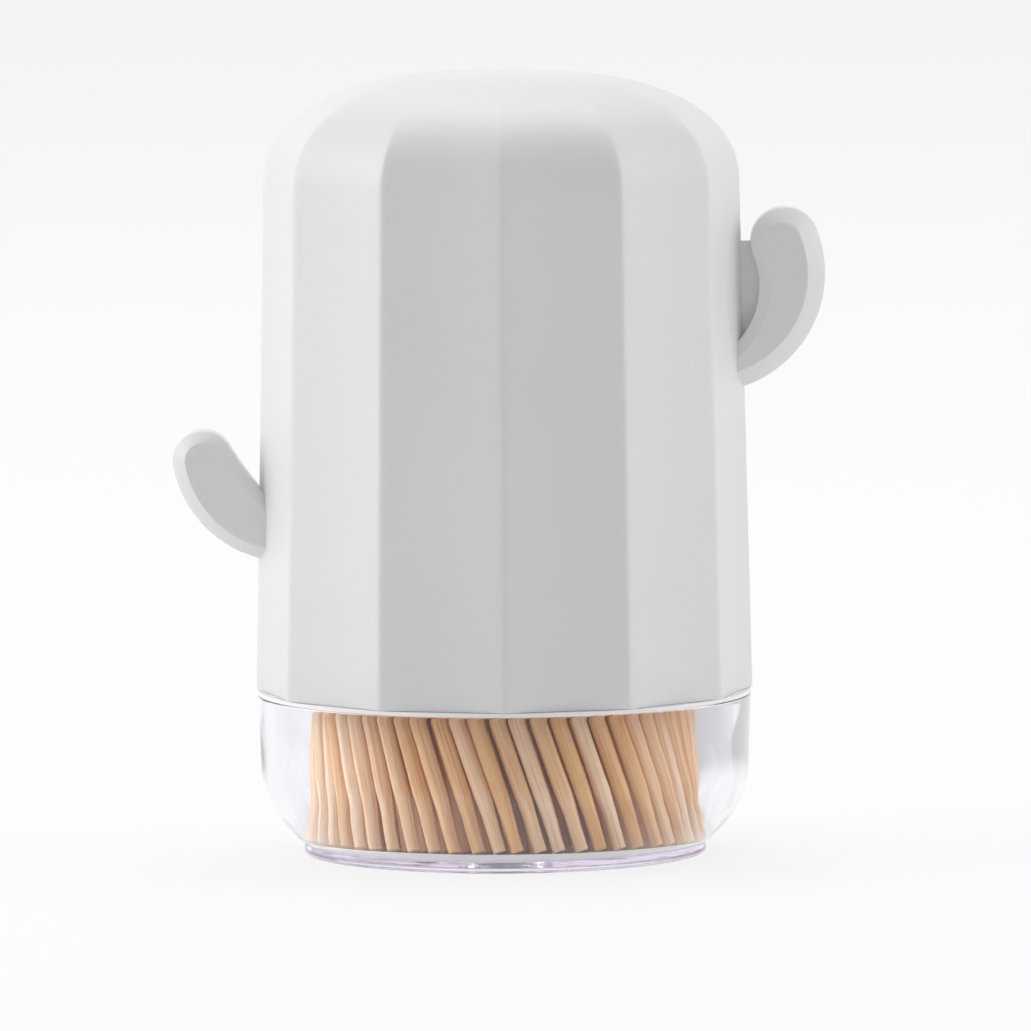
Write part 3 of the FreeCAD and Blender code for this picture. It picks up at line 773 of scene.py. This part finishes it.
def arm(name, side, foot_z, root_height, reach, tip_rise, tip_r, outside_turn, inside_turn, bevel,
        inner_share, web):
    """An arm from its outline: up the outside to the round tip, and down the inside to its root in the wall.
    Bevel is the width and fall of the slope along the outside, inner share what is left of both inside."""
    root_x = side * (wall_at(foot_z) - arm_root_depth)
    under_root, upper_root = Vector((root_x, foot_z)), Vector((root_x, foot_z + root_height))
    tip = Vector((side * (wall_at(foot_z) + reach), foot_z + tip_rise))
    outside = math.radians(outside_turn - side * 90)
    inside = math.radians(inside_turn + side * 90)
    outer_end, inner_end = tip + along(tip_r, outside), tip + along(tip_r, inside)
    crest = tip + along(tip_r, (outside + inside) / 2)
    outer_run = [under_root] + arc_towards(under_root, outer_end, math.radians(outside_turn), run_steps)
    inner_run = [upper_root] + arc_towards(upper_root, inner_end, math.radians(inside_turn), run_steps)
    round_tip = arc_through(tuple(outer_end), tuple(crest), tuple(inner_end), tip_steps)[:-1]
    round_tip = [Vector(point) for point in round_tip]

    width, fall = bevel
    side_edge, face_edge, on_face = (0, fall), (width, 0), (width + 2 * crest_round, 0)
    section = round_corner((0, arm_depth / 2), side_edge, face_edge, foot_round)
    section += round_corner(side_edge, face_edge, on_face, crest_round) + [on_face]
    changing = [tuple(1 - (1 - end) * n / tip_steps for end in inner_share) for n in range(1, tip_steps)]
    shares = [(1, 1)] * len(outer_run) + changing + [inner_share] * len(inner_run)
    outline = outer_run + round_tip + inner_run[::-1]
    piece = bevelled_slab(name, outline, arm_depth, section, shares, root_x)

    peg_z = peg_places[side]
    peg_start, peg_end = side * (wall_at(peg_z) + peg_outward), side * (wall_at(peg_z) - peg_inward)
    extras = [round_bar((peg_start, 0, peg_z), (peg_end, 0, peg_z), peg_r)]
    if web:
        centre = Vector(((root_x + tip.x) / 2, 0, (upper_root.y + tip.y) / 2))
        extras.append(plate(centre, (abs(tip.x - root_x), web, tip.y - upper_root.y)))
    settle(piece, matte_white)
    carry(piece, extras)
    return piece


arm_sizes = {
    "left_arm": {"side": -1, "foot_z": 0.0356, "root_height": 0.0076, "reach": 0.00647, "tip_rise": 0.01205,
                 "tip_r": 0.00366, "outside_turn": 100, "inside_turn": 120,
                 "bevel": (0.0015, 0.0018), "inner_share": (0.8, 0.5), "web": 0},
    "right_arm": {"side": 1, "foot_z": 0.0559, "root_height": 0.0055, "reach": 0.0048, "tip_rise": 0.0179,
                  "tip_r": 0.0041, "outside_turn": 112, "inside_turn": 112,
                  "bevel": (0.0021, 0.0024), "inner_share": (0.65, 0.25), "web": 0.0008}}
for node, sizes in arm_sizes.items():
    piece = arm("bent_" + node, **sizes)
    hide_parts(node)
    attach(piece, "cap")


# ---- Table, lamps and camera ----
# A pale table top and a soft white room with three softboxes, at left, at right and overhead. Glossy
# faces mirror a dimmer room in front, and the clear bowl shows grey cards at both sides through itself.
# On the table top both are painted shade: it is darker in front only in mirrors, and a grey patch behind
# at the right shows only through the bowl.

def disc_points(radius, z, count):
    """Points round a level circle."""
    angles = [math.tau * n / count for n in range(count)]
    return [(radius * math.cos(angle), radius * math.sin(angle), z) for angle in angles]


def kinds_of_ray(tree):
    """What a ray is, 0 or 1 for each: from the camera, glossy, bent through clear plastic, or mirrored."""
    path = place(tree, "ShaderNodeLightPath").outputs
    camera, glossy, bent = [Amount(path["Is %s Ray" % kind]) for kind in ("Camera", "Glossy", "Transmission")]
    return camera, glossy, bent, glossy.work("GREATER_THAN", bent)        # a bent ray counts as glossy too


table_r, table_z, table_sides = 8.0, -0.00005, 64
plain_share = 0.8                                 # the rest is the table's own colour, with its shadows
near_r, far_r, front_near, front_far, most_painted_dim = 0.045, 0.07, -0.03, -0.08, 0.75   # mirrored, in front
# painted shade: a grey patch on the table behind the object at the right, seen only through the bowl
painted_patch_x, painted_patch_half, painted_patch_near, painted_patch_far, painted_patch_grey = 0.065, 0.035, 0.03, 0.08, 0.45    # seen through the bowl
table = new_piece("table", disc_points(table_r, table_z, table_sides), [list(range(table_sides))])
table_top, tree, shader = new_finish("pale_table", {"Roughness": 0.9, "Specular IOR Level": 0.1})
spot = place(tree, "ShaderNodeTexCoord").outputs["Object"]
pale = mixed(tree, noise_at(tree, spot, 3.0, 3.0), (0.88, 0.88, 0.88, 1), (0.91, 0.91, 0.91, 1))
tree.links.new(pale, shader.inputs["Base Color"])
camera_ray, glossy_ray, bent_ray, mirrored_ray = kinds_of_ray(tree)
plain_white = (camera_ray * plain_share).work("MAXIMUM", glossy_ray.work("MAXIMUM", bent_ray))
away = Amount(place(tree, "ShaderNodeVectorMath", {0: spot}, operation="LENGTH").outputs["Value"])
table_x, table_y = coordinates(spot)[:2]
in_front = table_y.mapped(front_near, front_far, 0.0, 1.0)
# painted shade: the table is darker in front of the object, but only where glossy faces mirror it
painted_dim_in_mirrors = mirrored_ray * away.mapped(near_r, far_r, 0.0, most_painted_dim) * in_front
# painted shade: the grey patch on the table, seen only by rays bent through the bowl
behind = table_y.mapped(painted_patch_near, painted_patch_far, 0.0, painted_patch_grey)
painted_shade_patch = table_x.work("COMPARE", painted_patch_x, painted_patch_half) * behind * bent_ray
white = place(tree, "ShaderNodeEmission", {"Color": (1, 1, 1, 1), "Strength": 1.0 - (painted_dim_in_mirrors + painted_shade_patch)})
both = place(tree, "ShaderNodeMixShader", {0: plain_white, 1: shader, 2: white})
tree.links.new(both.outputs[0], tree.nodes["Material Output"].inputs["Surface"])
table.data.materials.append(table_top)

world = bpy.data.worlds.new("soft_room")
bpy.context.scene.world = world
world.use_nodes = True
tree = world.node_tree
room = tree.nodes["Background"]
room_strength, less_when_mirrored = 0.45, -0.15
backdrop = place(tree, "ShaderNodeBackground", {"Color": (1, 1, 1, 1), "Strength": 1.0})
camera_ray, glossy_ray, bent_ray, mirrored_ray = kinds_of_ray(tree)
room.inputs["Color"].default_value = (0.97, 0.98, 1.0, 1)
tree.links.new((mirrored_ray * less_when_mirrored + room_strength).socket, room.inputs["Strength"])
heading_x, heading_y = coordinates(place(tree, "ShaderNodeTexCoord").outputs["Generated"])[:2]
left_card, right_card = heading_x.mapped(-0.85, -0.35, 0.9, 1.0), heading_x.mapped(0.1, 0.4, 1.0, 0.65)
sides_and_back = heading_y.mapped(-0.7, -0.1, 0.0, 1.0)
through_bowl, mirrored = left_card * right_card * bent_ray, sides_and_back * mirrored_ray
white_share = camera_ray.work("MAXIMUM", through_bowl).work("MAXIMUM", mirrored)
both = place(tree, "ShaderNodeMixShader", {0: white_share, 1: room, 2: backdrop})
tree.links.new(both.outputs[0], tree.nodes["World Output"].inputs["Surface"])

light_paths = bpy.context.scene.cycles            # light bounces many times inside the wall of the bowl
light_paths.max_bounces = light_paths.glossy_bounces = light_paths.transmission_bounces = 24
light_paths.diffuse_bounces = 12


def softbox(name, place_at, power):
    """A square soft lamp turned towards the middle of the object."""
    size, middle = 0.9, Vector((0, 0, 0.045))
    lamp = bpy.data.lights.new(name, "AREA")
    lamp.shape = "SQUARE"
    lamp.size = size
    lamp.energy = power
    stand = bpy.data.objects.new(name, lamp)
    stand.location = place_at
    stand.rotation_euler = (middle - stand.location).to_track_quat("-Z", "Y").to_euler()
    bpy.context.scene.collection.objects.link(stand)


softbox("left_softbox", (-1.2, 0.05, 0.5), power=8.1)
softbox("right_softbox", (1.2, 0.05, 0.4), power=4.8)
softbox("top_softbox", (0.05, 0.45, 1.3), power=7.2)

camera_away, camera_height, camera_roll = 1.8, math.radians(5.3), math.radians(0.36)
looked_at = Vector((0.00145, 0, 0.0407))
toward_camera = Vector((0, -math.cos(camera_height), math.sin(camera_height)))
lens = bpy.data.cameras.new("camera")
lens.lens = 520.9
lens.sensor_width = 36
lens.clip_end = 100
camera = bpy.data.objects.new("camera", lens)
aimed = (-toward_camera).to_track_quat("-Z", "Y").to_matrix().to_4x4()
rolled = aimed @ Matrix.Rotation(-camera_roll, 4, "Z")
camera.matrix_world = Matrix.Translation(looked_at + toward_camera * camera_away) @ rolled
bpy.context.scene.collection.objects.link(camera)
bpy.context.scene.camera = camera
bpy.context.scene.view_settings.view_transform = "Standard"
